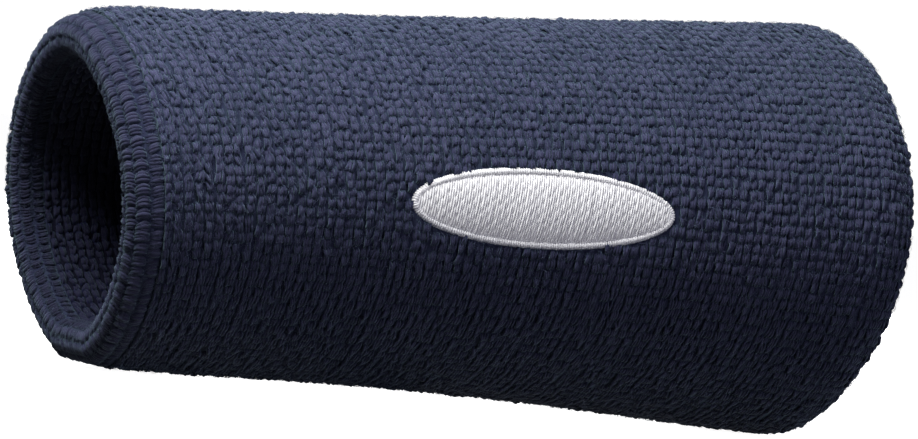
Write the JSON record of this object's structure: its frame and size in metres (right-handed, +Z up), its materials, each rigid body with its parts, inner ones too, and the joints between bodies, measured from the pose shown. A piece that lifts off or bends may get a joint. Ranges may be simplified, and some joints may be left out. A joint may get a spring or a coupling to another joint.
{
  "type": "sweat wristband",
  "caption": "Long flared terry-cloth sweat wristband: a double-layer knitted tube with a corded rolled wrist rim, a turned forearm edge and an oval embroidered emblem.",
  "frame": {"origin": "on the floor under the middle of the band's bounding box", "axes": "+X along the tube from the wrist end to the forearm end, -Y the side with the emblem, +Z up with the band lying on its underside"},
  "size_m": [0.1312, 0.0582, 0.0636],
  "materials": {
    "navy_terry": "cotton terry pile",
    "navy_lining": "cotton terry pile, darker inside",
    "navy_knit": "plain knitted cotton",
    "navy_cord_stitch": "thick twisted cotton stitches",
    "elastic": "covered elastic yarn",
    "silver_thread": "satin rayon thread",
    "nonwoven_backing": "matt non-woven"
  },
  "bodies": {
    "root": {"outer_terry_layer": "navy_terry", "inner_terry_lining": "navy_lining", "wrist_welt": "navy_knit", "welt_rope_row_outer": "navy_cord_stitch", "welt_rope_row_front": "navy_cord_stitch", "welt_rope_row_inner": "navy_cord_stitch", "forearm_turned_edge": "navy_terry", "wrist_hem_elastic": "elastic", "forearm_hem_elastic": "elastic", "laid_in_elastic": "elastic", "emblem_embroidery": "silver_thread", "emblem_backing": "nonwoven_backing"}
  },
  "joints": []
}
